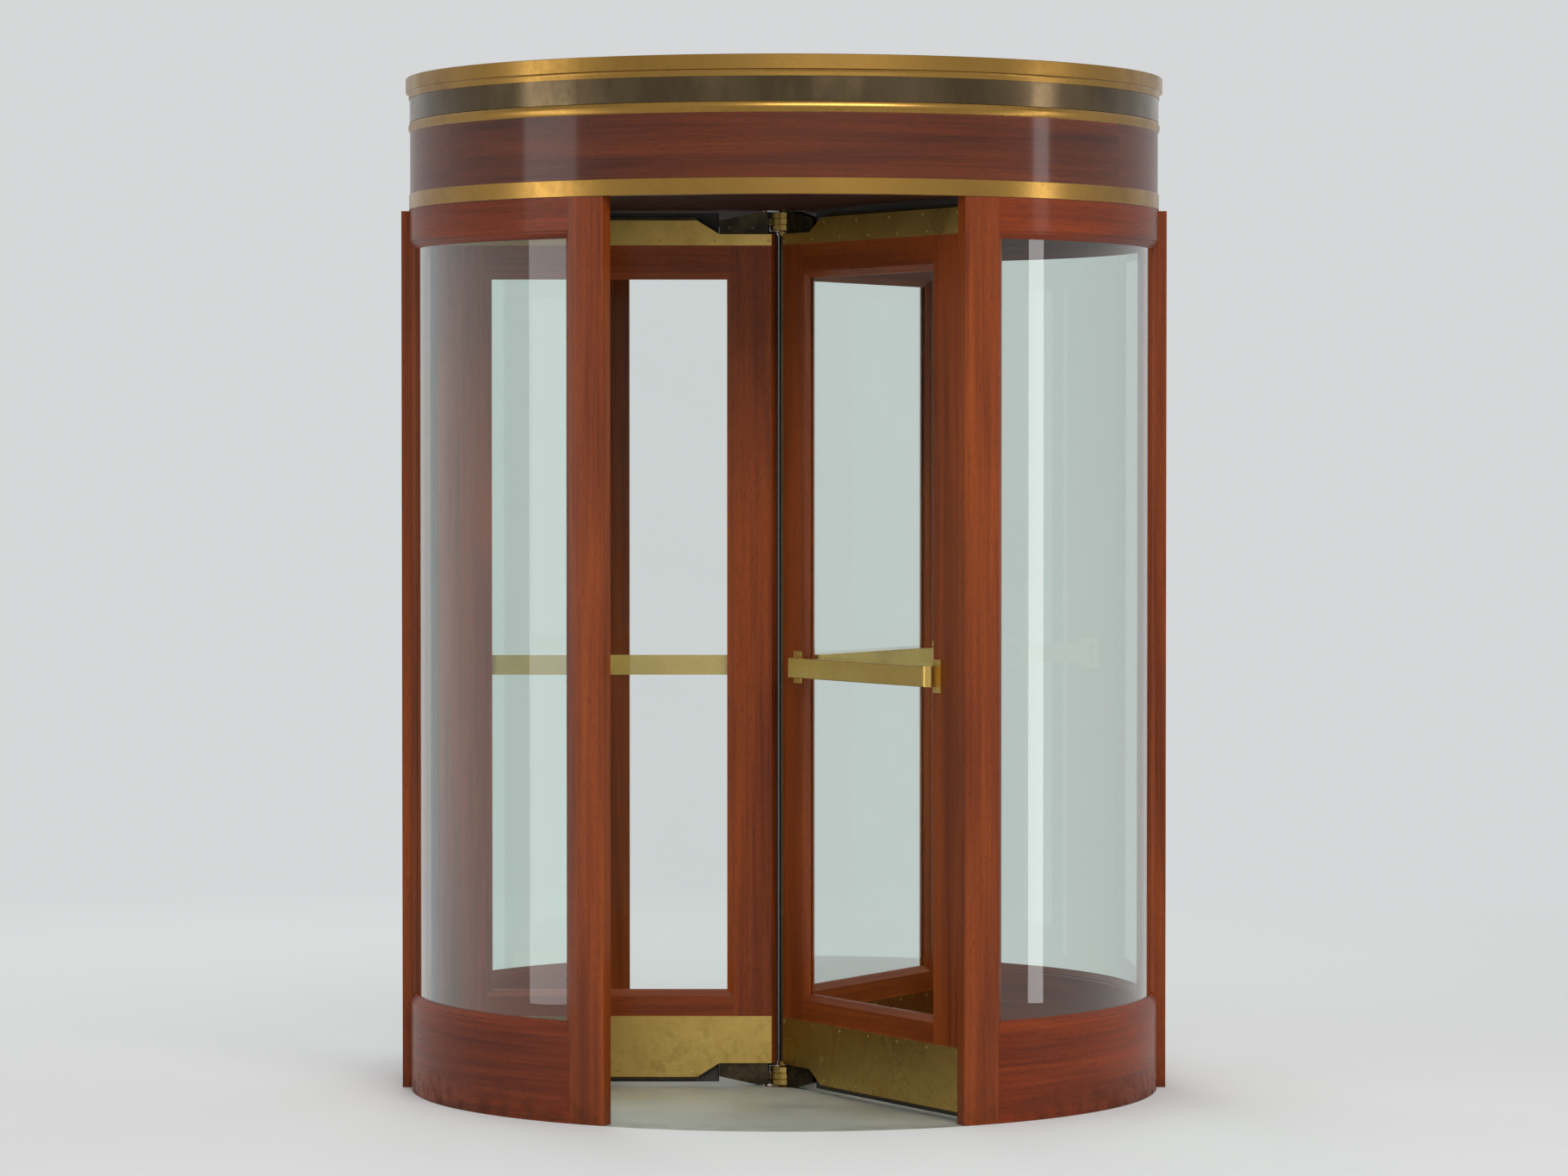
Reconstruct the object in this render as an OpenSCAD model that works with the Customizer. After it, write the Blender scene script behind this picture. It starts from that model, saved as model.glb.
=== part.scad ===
// Three-wing manual revolving door in varnished mahogany with brass trim.
// The origin is the centre of the underside of the round stone floor, Z is up,
// the street side faces -Y and the building wall runs along X.

/* [Drum] */
// Inner radius of the curved side walls
drum_r = 990.5; // [960:0.5:1100]
// Thickness of the curved side walls
wall_t = 44.5; // [38:0.5:60]
// Half of the angle that each doorway takes out of the round wall
throat_half = 27.2; // [26:0.1:29]
// Thickness of the round stone floor
floor_t = 20; // [16:1:40]
// Clear height from the floor to the ceiling
clear_h = 2432; // [2200:1:2600]
// Height of the curved base rails
base_rail_h = 250; // [150:1:400]
// Height of the curved head rails
head_rail_h = 90; // [60:1:150]
// Width along the arc of each throat post
throat_post_w = 102; // [80:1:150]
// Width of each jamb where the building wall meets the drum
jamb_w = 92; // [70:1:130]
// How far the flat face of a jamb stands out from the round wall
jamb_proud = 24; // [12:1:50]
// Size of the eased edges on the wood
ease = 3; // [1:0.5:4]

/* [Glazing] */
// Thickness of the curved glass
pane_t = 12; // [8:1:16]
// Depth that glass is let into wood
rebate = 8; // [4:1:12]
// Height of the beads that hold the curved glass
wall_bead_h = 18; // [10:1:24]
// Thickness of the wing's glass
wing_glass_t = 10; // [6:1:12]
// Width of the beads that hold the wing's glass
bead_w = 18; // [10:1:24]
// How far the wing's beads lie below the wood's face
bead_set = 4; // [2:0.5:6]
// Thickness of a bead along its thin edge
bead_lip = 4; // [3:0.5:6]

/* [Fascia] */
// Height of the lower brass band
band_low_h = 43; // [20:1:80]
// Height of the wooden fascia band
fascia_wood_h = 169; // [100:1:260]
// Height of the rounded brass bead
band_mid_h = 28; // [16:1:50]
// Height of the dark upper band
band_dark_h = 65; // [40:1:140]
// Height of the brass cornice
cornice_h = 56; // [40:1:110]
// How far the lower brass band stands proud of the wood
band_proud = 3; // [2:0.5:6]
// How far the rounded brass bead stands proud of the wood
bead_proud = 5; // [3:0.5:7]
// How far the dark band stands proud of the wood
dark_proud = 1.5; // [0.5:0.5:4]
// How far the cornice stands proud of the wood
cornice_proud = 12; // [10:1:30]
// Height of the cornice's narrow foot
cornice_foot = 10; // [6:1:14]
// Radius of the cove above the foot
cove_r = 8; // [4:0.5:8]
// How far the fascia hangs below the ceiling
fascia_drop = 2; // [1:1:30]
// Thickness of the fascia ring
fascia_t = 38; // [24:1:42]
// Thickness of the ceiling panel
ceiling_t = 30; // [18:1:50]
// Thickness of the roof cover
roof_t = 18; // [10:1:30]
// How far the roof cover lies below the top of the cornice
roof_drop = 12; // [4:1:20]
// Joint between the two halves of the roof cover
roof_joint = 3; // [1:0.5:6]

/* [Wings] */
// Thickness of a wing
wing_t = 44; // [38:1:54]
// Clearance between a wing's outer stile and the curved wall
stile_gap = 28.5; // [20:0.5:50]
// Clearance between the side sweep and the curved wall
sweep_gap = 5.5; // [5:0.5:12]
// Clearance between the bottom sweep and the floor
sweep_floor_gap = 10; // [6:1:15]
// Clearance between the top sweep and the ceiling
sweep_ceiling_gap = 5.5; // [5:0.5:12]
// Gap between a wing's bottom edge and the floor
wing_floor_gap = 26; // [20:1:40]
// Gap between a wing's top edge and the ceiling
wing_ceiling_gap = 27; // [20:1:40]
// Width of the inner stile
stile_in_w = 120; // [100:1:180]
// Width of the outer stile
stile_out_w = 132; // [100:1:180]
// Height of the bottom rail
rail_low_h = 224; // [200:1:350]
// Height of the top rail
rail_top_h = 145; // [110:1:240]
// Height of the brass kick plate
kick_h = 169; // [100:1:190]
// Height of the brass cap plate
cap_h = 69; // [50:1:100]
// Thickness of the brass plates
plate_t = 1.5; // [1:0.1:3]
// Thickness of the rubber sweeps and of the centre seal
sweep_t = 6; // [4:0.5:8]

/* [Push bars] */
// Height of the push bar above the floor
bar_z = 1170; // [950:5:1300]
// Height of the push bar itself
bar_h = 55; // [30:1:70]
// Thickness of the push bar
bar_t = 12; // [8:1:20]
// Distance from the wing's face to the back of the bar
bar_stand = 28; // [20:1:60]
// Outer radius of the bends at both ends of the bar
bend_r = 21; // [21:1:30]
// How far the bar reaches onto each stile
bar_reach = 28; // [26:1:40]
// Width of the foot plates that the bar stands on
foot_w = 40; // [30:1:44]
// Height of the foot plates
foot_h = 88; // [72:1:120]
// Thickness of the foot plates
foot_t = 4; // [3:0.5:6]

/* [Spindle] */
// Diameter of the central spindle
spindle_d = 28; // [22:1:34]
// Clearance between the spindle and a wing's rounded inner edge
spindle_gap = 6; // [5:0.5:9]
// Clearance between the spindle and the soft seal in that edge
seal_gap = 0.5; // [0.3:0.1:2]
// Depth that the seal is let into the edge
seal_bite = 6; // [4:0.5:10]
// Outer diameter of the hanger knuckles
knuckle_d = 78; // [60:1:90]
// Height of one hanger knuckle
knuckle_h = 17; // [12:0.5:20]
// Running clearance of a knuckle or a bearing on the spindle
run_gap = 0.05; // [0.02:0.01:0.1]
// Gap between stacked knuckles
stack_gap = 0.4; // [0.3:0.1:1]
// Gap between the stack of knuckles and a bearing plate
stack_lift = 3; // [1:0.5:6]
// Height of the notch in a wing's inner corners
notch_h = 38; // [25:1:60]
// Radius where the notch reaches its full height
notch_r = 180; // [140:1:220]
// Run of the notch's sloping end for each unit of its height
notch_slope = 1.6; // [1:0.1:2]
// Width of a hanger arm
arm_w = 28; // [20:1:36]
// Clearance between the knuckles and another wing's arm
arm_gap = 6; // [5:0.5:10]
// Length of a hanger arm's foot before it slopes up
arm_toe = 30; // [20:1:60]
// Diameter of the bearing plates
bearing_d = 120; // [100:1:180]
// Depth of the bearing plates, which lie flush with floor and ceiling
bearing_h = 14; // [8:1:15]

/* [Hidden] */
$fn = 96;

mahogany = "#8c4628";
mahogany_dark = "#5a2c1c";
brass = "#96823c";
bronze = "#4a483e";
stone = "#a5a89b";
glass_tint = "#b8ccc4";
rubber_black = "#202020";

// Cutting shapes reach this far past what they cut
cut = 1;
// Clearance around glass in its groove
groove_gap = 0.3;
// Thickness of the glue between the wall and the fascia
glue_gap = 0.1;
wing_n = 3;
wing_step = 360 / wing_n;
first_wing = 60;

wall_r = drum_r + wall_t;
pane_r = drum_r + wall_t / 2;
pane_in = pane_r - pane_t / 2;
pane_out = pane_r + pane_t / 2;
floor_z = floor_t;
soffit_z = floor_z + clear_h;
head_z = soffit_z - fascia_drop;
glass_z0 = floor_z + base_rail_h;
glass_z1 = head_z - head_rail_h;
post_a = throat_post_w / pane_r * 180 / PI;
rebate_a = rebate / pane_r * 180 / PI;
gap_a = groove_gap / pane_r * 180 / PI;
post_end = throat_half + post_a;
pane_a0 = post_end - rebate_a;
pane_a1 = 90 - asin((jamb_w / 2 - rebate) / pane_r);

fascia_z0 = head_z + glue_gap;
fascia_z1 = fascia_z0 + band_low_h;
fascia_z2 = fascia_z1 + fascia_wood_h;
fascia_z3 = fascia_z2 + band_mid_h;
fascia_z4 = fascia_z3 + band_dark_h;
fascia_z5 = fascia_z4 + cornice_h;
roof_z = fascia_z5 - roof_drop - roof_t;

wing_in = spindle_d / 2 + spindle_gap;
wing_out = drum_r - stile_gap;
wing_z0 = floor_z + wing_floor_gap;
wing_z1 = soffit_z - wing_ceiling_gap;
lite_x0 = wing_in + stile_in_w;
lite_x1 = wing_out - stile_out_w;
lite_z0 = wing_z0 + rail_low_h;
lite_z1 = wing_z1 - rail_top_h;
wing_face = wing_t / 2;
notch_end = notch_r + notch_h * notch_slope;
// The seal stays this far above and below the notches
seal_lift = 5;
pane_face = wing_glass_t / 2 + groove_gap;
// The rounded inner edge is part of a circle a little wider than the wing
nose_extra = 2;
nose_r = wing_face + nose_extra;
// Where the rounding ends and the flat faces begin
flat_x0 = wing_in + nose_r - sqrt(nose_r * nose_r - wing_face * wing_face);
bar_l = lite_x1 - lite_x0 + 2 * bar_reach;
bar_depth = bar_stand + bar_t;
knuckle_r = knuckle_d / 2;
knuckle_step = knuckle_h + stack_gap;
arm_x0 = knuckle_r + arm_gap;
bearing_bore_d = spindle_d + 2 * run_gap;
// Size of the eased edges on the metal
metal_ease = 1.5;

// A curved bar between two angles that are measured from -Y towards +X
module arc_bar(r0, r1, z0, z1, a0, a1) {
    rotate([0, 0, a0 - 90])
        rotate_extrude(angle = a1 - a0)
            translate([r0, z0])
                square([r1 - r0, z1 - z0]);
}

module ring(r0, r1, z0, z1) {
    rotate_extrude()
        translate([r0, z0])
            square([r1 - r0, z1 - z0]);
}

// The right front quarter moved to one of the four quarters
module quarter(left, back) {
    mirror([left ? 1 : 0, 0, 0])
        mirror([0, back ? 1 : 0, 0])
            children();
}

// The jamb's straight block on the right
module jamb_block(z0, z1) {
    translate([0, -jamb_w / 2, z0])
        cube([wall_r + jamb_proud, jamb_w, z1 - z0]);
}

// The curved glass of the right front quarter, grown by a clearance
module pane_solid(gap, gap_angle) {
    arc_bar(pane_in - gap, pane_out + gap, glass_z0 - rebate - gap, glass_z1 + rebate + gap,
        pane_a0 - gap_angle, pane_a1 + gap_angle);
}

// Cuts a corner of an outline at 45 degrees, with the corner at the origin
module corner_cut(size) {
    rotate(45)
        square(size * sqrt(2), center = true);
}

module floor_disc() {
    color(stone)
        difference() {
            cylinder(r = wall_r, h = floor_t);
            translate([0, 0, floor_t - bearing_h])
                cylinder(d = bearing_d, h = bearing_h + cut);
        }
}

// The pivot bearing let into the floor
module floor_bearing() {
    color(brass)
        difference() {
            translate([0, 0, floor_z - bearing_h])
                cylinder(d = bearing_d, h = bearing_h);
            translate([0, 0, floor_z - bearing_h / 2])
                cylinder(d = bearing_bore_d, h = bearing_h);
        }
}

// The rail profile has eased outer corners at the glass side
module rail_profile(z0, z1, glass_up) {
    e0 = glass_up ? 0 : ease;
    e1 = glass_up ? ease : 0;
    polygon([
        [drum_r + e0, z0], [wall_r - e0, z0], [wall_r, z0 + e0],
        [wall_r, z1 - e1], [wall_r - e1, z1], [drum_r + e1, z1],
        [drum_r, z1 - e1], [drum_r, z0 + e0]
    ]);
}

// The sloped beads on both sides of the curved glass, cut across, before the
// glass's groove parts them. They grow up (1) or down (-1) from a root in the wood
module wall_bead_section(way) {
    root = 2;
    flat = 2;
    inner = drum_r + ease;
    outer = wall_r - ease;
    polygon([
        [inner, -way * root], [outer, -way * root], [outer, way * bead_lip],
        [pane_out + flat, way * wall_bead_h], [pane_in - flat, way * wall_bead_h],
        [inner, way * bead_lip]
    ]);
}

// The beads that run round the drum on a base rail or below a head rail
module level_wall_beads(glass_up, start) {
    rotate([0, 0, start - 90])
        rotate_extrude(angle = 90 - start)
            translate([0, glass_up ? glass_z0 : glass_z1])
                wall_bead_section(glass_up ? 1 : -1);
}

// The beads that run up the side of a post or jamb, along +Y of the plan
module upright_wall_beads() {
    translate([0, 0, glass_z0])
        linear_extrude(glass_z1 - glass_z0)
            wall_bead_section(1);
}

module curved_rails(left, z0, z1, glass_up) {
    color(mahogany)
        for (back = [false, true])
            quarter(left, back)
                difference() {
                    union() {
                        rotate([0, 0, post_end - 90])
                            rotate_extrude(angle = 90 - post_end)
                                rail_profile(z0, z1, glass_up);
                        level_wall_beads(glass_up, post_end);
                    }
                    pane_solid(groove_gap, gap_a);
                    jamb_block(z0 - wall_bead_h - cut, z1 + wall_bead_h + cut);
                }
}

module curved_glass(left, back) {
    color(glass_tint)
        quarter(left, back)
            pane_solid(0, 0);
}

// A post beside a doorway, grooved for the glass, with its doorway edges eased
module throat_post(left, back) {
    color(mahogany)
        quarter(left, back)
            difference() {
                union() {
                    arc_bar(drum_r, wall_r, floor_z, head_z, throat_half, post_end);
                    difference() {
                        rotate([0, 0, post_end - 90])
                            upright_wall_beads();
                        level_wall_beads(true, throat_half);
                        level_wall_beads(false, throat_half);
                    }
                }
                pane_solid(groove_gap, gap_a);
                for (r = [drum_r, wall_r])
                    rotate([0, 0, throat_half - 90])
                        translate([r, 0, floor_z - cut])
                            linear_extrude(head_z - floor_z + 2 * cut)
                                corner_cut(ease);
            }
}

// The jamb that fastens one side of the drum to the building
module jamb(left) {
    side_a = asin(jamb_w / 2 / pane_r);
    color(mahogany)
        mirror([left ? 1 : 0, 0, 0])
            difference() {
                union() {
                    jamb_block(floor_z, head_z);
                    for (back = [false, true])
                        quarter(false, back)
                            difference() {
                                rotate([0, 0, -side_a])
                                    mirror([0, 1, 0])
                                        upright_wall_beads();
                                level_wall_beads(true, throat_half);
                                level_wall_beads(false, throat_half);
                            }
                }
                translate([0, 0, floor_z - cut])
                    cylinder(r = drum_r, h = head_z - floor_z + 2 * cut);
                for (back = [false, true])
                    quarter(false, back)
                        pane_solid(groove_gap, gap_a);
            }
}

module ceiling() {
    color(mahogany_dark)
        translate([0, 0, soffit_z])
            difference() {
                cylinder(r = wall_r - fascia_t, h = ceiling_t);
                translate([0, 0, -cut])
                    cylinder(d = bearing_d, h = bearing_h + cut);
            }
}

// The pivot bearing let into the ceiling
module ceiling_bearing() {
    color(bronze)
        translate([0, 0, soffit_z])
            difference() {
                cylinder(d = bearing_d, h = bearing_h);
                translate([0, 0, -bearing_h / 2])
                    cylinder(d = bearing_bore_d, h = bearing_h);
            }
}

module fascia_ring() {
    color(mahogany)
        ring(wall_r - fascia_t, wall_r, fascia_z0, roof_z);
}

// A flat band at the bottom and a rounded bead above the wood
module brass_bands() {
    color(brass) {
        rotate_extrude()
            translate([wall_r, fascia_z0])
                difference() {
                    square([band_proud, band_low_h]);
                    for (z = [0, band_low_h])
                        translate([band_proud, z])
                            corner_cut(band_proud / 3);
                }
        rotate_extrude()
            translate([wall_r, fascia_z2])
                bead_section();
    }
}

// A rounded bead, cut across: the part of a circle that stands proud of the wood
module bead_section() {
    half = band_mid_h / 2;
    bead_r = (half * half + bead_proud * bead_proud) / (2 * bead_proud);
    intersection() {
        square([bead_proud, band_mid_h]);
        translate([bead_proud - bead_r, half])
            circle(r = bead_r);
    }
}

module dark_band() {
    color(bronze)
        ring(wall_r, wall_r + dark_proud, fascia_z3, fascia_z4);
}

// The cornice has a narrow foot, a cove and a flat band with an eased top
module cornice() {
    color(brass)
        rotate_extrude()
            translate([wall_r, fascia_z4])
                difference() {
                    square([cornice_proud, cornice_h]);
                    translate([cornice_proud - cove_r, -cut])
                        square([cove_r + cut, cornice_foot + cut]);
                    translate([cornice_proud, cornice_foot])
                        circle(r = cove_r);
                    translate([cornice_proud, cornice_h])
                        corner_cut(metal_ease);
                }
}

// The dust cover in two halves, let down inside the cornice
module roof_cover() {
    color(mahogany_dark)
        translate([0, 0, roof_z])
            difference() {
                cylinder(r = wall_r, h = roof_t);
                translate([-wall_r - cut, -roof_joint / 2, -cut])
                    cube([2 * (wall_r + cut), roof_joint, roof_t + 2 * cut]);
            }
}

// The spindle runs from the floor bearing to the ceiling bearing
module spindle() {
    foot_z = floor_z - bearing_h / 2 + stack_gap;
    tip_z = soffit_z + bearing_h / 2 - stack_gap;
    color(bronze)
        translate([0, 0, foot_z])
            cylinder(d = spindle_d, h = tip_z - foot_z);
}

module wing_place(n) {
    rotate([0, 0, first_wing + (n - 1) * wing_step])
        children();
}

// The wing's glass, grown by a clearance
module lite(gap) {
    grow = rebate + gap;
    translate([lite_x0 - grow, -wing_glass_t / 2 - gap, lite_z0 - grow])
        cube([lite_x1 - lite_x0 + 2 * grow, wing_glass_t + 2 * gap, lite_z1 - lite_z0 + 2 * grow]);
}

// A corner notch with a sloping end, seen from the side, with its height upwards
module notch_profile() {
    polygon([
        [0, -cut], [notch_end, -cut], [notch_end, 0], [notch_r, notch_h], [0, notch_h]
    ]);
}

// The notches at the top and bottom of the inner edge
module corner_notches() {
    translate([0, wing_t, wing_z0])
        rotate([90, 0, 0])
            linear_extrude(2 * wing_t)
                notch_profile();
    translate([0, wing_t, wing_z1])
        rotate([90, 0, 0])
            linear_extrude(2 * wing_t)
                mirror([0, 1, 0])
                    notch_profile();
}

// A board in the plane of the wing, between two distances from that plane
module slab(y0, y1) {
    translate([0, y1, 0])
        rotate([90, 0, 0])
            linear_extrude(y1 - y0)
                children();
}

// A sloped bead, cut across: X is the distance from the wing's middle plane and
// Y the distance from the wood
module wing_bead_section() {
    polygon([
        [pane_face, 0], [wing_face - bead_set, 0], [pane_face + bead_lip, bead_w], [pane_face, bead_w]
    ]);
}

// The mitred beads up the inner stile, on both faces
module upright_wing_beads() {
    for (side = [0, 1])
        mirror([0, side, 0])
            intersection() {
                translate([lite_x0, 0, lite_z0])
                    linear_extrude(lite_z1 - lite_z0)
                        mirror([1, -1])
                            wing_bead_section();
                slab(0, wing_face)
                    polygon([
                        [lite_x0, lite_z0], [lite_x0, lite_z1],
                        [lite_x0 + bead_w, lite_z1 - bead_w], [lite_x0 + bead_w, lite_z0 + bead_w]
                    ]);
            }
}

// The mitred beads along the bottom rail, on both faces
module level_wing_beads() {
    for (side = [0, 1])
        mirror([0, side, 0])
            intersection() {
                translate([lite_x0, 0, lite_z0])
                    rotate([90, 0, 90])
                        linear_extrude(lite_x1 - lite_x0)
                            wing_bead_section();
                slab(0, wing_face)
                    polygon([
                        [lite_x0, lite_z0], [lite_x1, lite_z0],
                        [lite_x1 - bead_w, lite_z0 + bead_w], [lite_x0 + bead_w, lite_z0 + bead_w]
                    ]);
            }
}

// The soft seal in the rounded inner edge, which closes the gap at the spindle
module centre_seal() {
    seal_x0 = spindle_d / 2 + seal_gap;
    seal_z0 = wing_z0 + notch_h + seal_lift;
    seal_z1 = wing_z1 - notch_h - seal_lift;
    translate([seal_x0, -sweep_t / 2, seal_z0])
        cube([wing_in + seal_bite - seal_x0, sweep_t, seal_z1 - seal_z0]);
}

// The inner stile's outline from above, with its rounded inner edge
module inner_stile_plan() {
    intersection() {
        translate([wing_in, -wing_face])
            square([stile_in_w, wing_t]);
        union() {
            translate([wing_in + nose_r, 0])
                circle(r = nose_r);
            translate([wing_in + nose_r, -wing_t])
                square([stile_in_w, 2 * wing_t]);
        }
    }
}

// The outer stile's outline from above, with its outer edges eased
module outer_stile_plan() {
    difference() {
        translate([lite_x1, -wing_face])
            square([stile_out_w, wing_t]);
        for (y = [-wing_face, wing_face])
            translate([wing_out, y])
                corner_cut(ease);
    }
}

module wing_stiles(n) {
    color(mahogany)
        wing_place(n) {
            difference() {
                union() {
                    translate([0, 0, wing_z0])
                        linear_extrude(wing_z1 - wing_z0)
                            inner_stile_plan();
                    upright_wing_beads();
                }
                corner_notches();
                lite(groove_gap);
                centre_seal();
            }
            difference() {
                union() {
                    translate([0, 0, wing_z0])
                        linear_extrude(wing_z1 - wing_z0)
                            outer_stile_plan();
                    translate([lite_x0 + lite_x1, 0, 0])
                        mirror([1, 0, 0])
                            upright_wing_beads();
                }
                lite(groove_gap);
            }
        }
}

module wing_rails(n) {
    width = lite_x1 - lite_x0;
    color(mahogany)
        wing_place(n) {
            difference() {
                union() {
                    translate([lite_x0, -wing_face, wing_z0])
                        cube([width, wing_t, rail_low_h]);
                    level_wing_beads();
                }
                corner_notches();
                lite(groove_gap);
            }
            difference() {
                union() {
                    translate([lite_x0, -wing_face, lite_z1])
                        cube([width, wing_t, rail_top_h]);
                    translate([0, 0, lite_z0 + lite_z1])
                        mirror([0, 0, 1])
                            level_wing_beads();
                }
                corner_notches();
                lite(groove_gap);
            }
        }
}

module wing_glass(n) {
    color(glass_tint)
        wing_place(n)
            lite(0);
}

// Kick plates and cap plates on both faces of a wing
module wing_brass(n) {
    width = wing_out - ease - flat_x0;
    color(brass)
        wing_place(n)
            difference() {
                for (side = [0, 1])
                    mirror([0, side, 0]) {
                        translate([flat_x0, wing_face, wing_z0])
                            cube([width, plate_t, kick_h]);
                        translate([flat_x0, wing_face, wing_z1 - cap_h])
                            cube([width, plate_t, cap_h]);
                    }
                corner_notches();
            }
}

// The bent bar's outline from above, drawn in by a distance, with Y outwards
module bar_outline(inset) {
    r = bend_r - inset;
    width = bar_l - 2 * inset;
    depth = bar_depth - inset;
    translate([inset, 0])
        intersection() {
            square([width, depth]);
            union() {
                translate([0, -bend_r])
                    square([width, depth + bend_r - r]);
                translate([r, 0])
                    square([width - 2 * r, depth]);
                for (x = [r, width - r])
                    translate([x, depth - r])
                        circle(r = r);
            }
        }
}

// The bar cut across, with the edges of its outer face eased
module bar_section() {
    difference() {
        translate([-cut, -bar_h / 2])
            square([bar_depth + cut, bar_h]);
        for (z = [-bar_h / 2, bar_h / 2])
            translate([bar_depth, z])
                corner_cut(metal_ease);
    }
}

// A flat bar bent back at both ends onto foot plates, on the face that is pushed
module push_bar(n) {
    color(brass)
        wing_place(n)
            translate([lite_x0 - bar_reach, -wing_face, floor_z + bar_z])
                mirror([0, 1, 0]) {
                    intersection() {
                        translate([0, 0, -bar_h / 2])
                            linear_extrude(bar_h)
                                difference() {
                                    bar_outline(0);
                                    bar_outline(bar_t);
                                }
                        rotate([90, 0, 90])
                            linear_extrude(bar_l)
                                bar_section();
                    }
                    for (x = [bar_t / 2, bar_l - bar_t / 2])
                        translate([x - foot_w / 2, 0, -foot_h / 2])
                            cube([foot_w, foot_t, foot_h]);
                }
}

// One hanger: a knuckle around the spindle and an arm that fills the notch
module hanger(level) {
    knuckle_z = floor_z + stack_lift + level * knuckle_step;
    arm_z0 = floor_z + stack_lift;
    arm_z1 = wing_z0 + notch_h;
    difference() {
        union() {
            translate([0, 0, knuckle_z])
                rotate_extrude()
                    difference() {
                        square([knuckle_r, knuckle_h]);
                        for (z = [0, knuckle_h])
                            translate([knuckle_r, z])
                                corner_cut(metal_ease);
                    }
            translate([0, -arm_w / 2, knuckle_z])
                cube([arm_x0 + cut, arm_w, knuckle_h]);
            slab(-arm_w / 2, arm_w / 2)
                polygon([
                    [arm_x0, arm_z0], [arm_x0 + arm_toe, arm_z0], [notch_r, wing_z0],
                    [notch_r, arm_z1], [arm_x0, arm_z1]
                ]);
        }
        translate([0, 0, knuckle_z - cut])
            cylinder(d = spindle_d + 2 * run_gap, h = knuckle_h + 2 * cut);
    }
}

// The hangers at the bottom and at the top carry a wing on the spindle
module wing_hangers(n) {
    color(bronze)
        wing_place(n) {
            hanger(n - 1);
            translate([0, 0, floor_z + soffit_z + wing_floor_gap - wing_ceiling_gap])
                mirror([0, 0, 1])
                    hanger(n - 1);
        }
}

// Rubber sweeps below, above and at the outer edge of a wing, and its centre seal
module wing_sweeps(n) {
    x0 = notch_end;
    side_x1 = drum_r - sweep_gap;
    low_z = floor_z + sweep_floor_gap;
    high_z = soffit_z - sweep_ceiling_gap;
    color(rubber_black)
        wing_place(n) {
            translate([x0, -sweep_t / 2, low_z])
                cube([wing_out - x0, sweep_t, wing_z0 - low_z]);
            translate([x0, -sweep_t / 2, wing_z1])
                cube([wing_out - x0, sweep_t, high_z - wing_z1]);
            translate([wing_out, -sweep_t / 2, low_z])
                cube([side_x1 - wing_out, sweep_t, high_z - low_z]);
            centre_seal();
        }
}

floor_disc();
floor_bearing();
curved_rails(true, floor_z, glass_z0, true);  // left_base_rails
curved_rails(false, floor_z, glass_z0, true);  // right_base_rails
curved_rails(true, glass_z1, head_z, false);  // left_head_rails
curved_rails(false, glass_z1, head_z, false);  // right_head_rails
curved_glass(true, false);  // left_front_glass
curved_glass(true, true);  // left_back_glass
curved_glass(false, false);  // right_front_glass
curved_glass(false, true);  // right_back_glass
throat_post(true, false);  // left_front_post
throat_post(true, true);  // left_back_post
throat_post(false, false);  // right_front_post
throat_post(false, true);  // right_back_post
jamb(true);  // left_jamb
jamb(false);  // right_jamb
ceiling();
ceiling_bearing();
fascia_ring();
brass_bands();
dark_band();
cornice();
roof_cover();
spindle();
wing_stiles(1);  // wing_1_stiles
wing_rails(1);  // wing_1_rails
wing_glass(1);  // wing_1_glass
wing_brass(1);  // wing_1_brass
push_bar(1);  // wing_1_push_bar
wing_hangers(1);  // wing_1_hangers
wing_sweeps(1);  // wing_1_sweeps
wing_stiles(2);  // wing_2_stiles
wing_rails(2);  // wing_2_rails
wing_glass(2);  // wing_2_glass
wing_brass(2);  // wing_2_brass
push_bar(2);  // wing_2_push_bar
wing_hangers(2);  // wing_2_hangers
wing_sweeps(2);  // wing_2_sweeps
wing_stiles(3);  // wing_3_stiles
wing_rails(3);  // wing_3_rails
wing_glass(3);  // wing_3_glass
wing_brass(3);  // wing_3_brass
push_bar(3);  // wing_3_push_bar
wing_hangers(3);  // wing_3_hangers
wing_sweeps(3);  // wing_3_sweeps
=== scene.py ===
# %% [markdown]
# # A three-wing revolving door
# A round drum of curved glass and mahogany carries a fascia with brass bands,
# and three glazed wings turn inside it on one spindle. The shapes arrive as
# solids, so this lesson is about what they are made of and how they are
# fastened: varnished wood whose grain follows each board, lacquered brass, dark
# bronze, clear glass, honed stone, and the screws, seal holders, notch seals
# and collars that a joiner adds. Everything is in metres, Z is up and the front
# of the door faces -Y.

# %% Load the solids and note their size
import math

import bmesh
import bpy
from mathutils import Matrix, Vector


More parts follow.
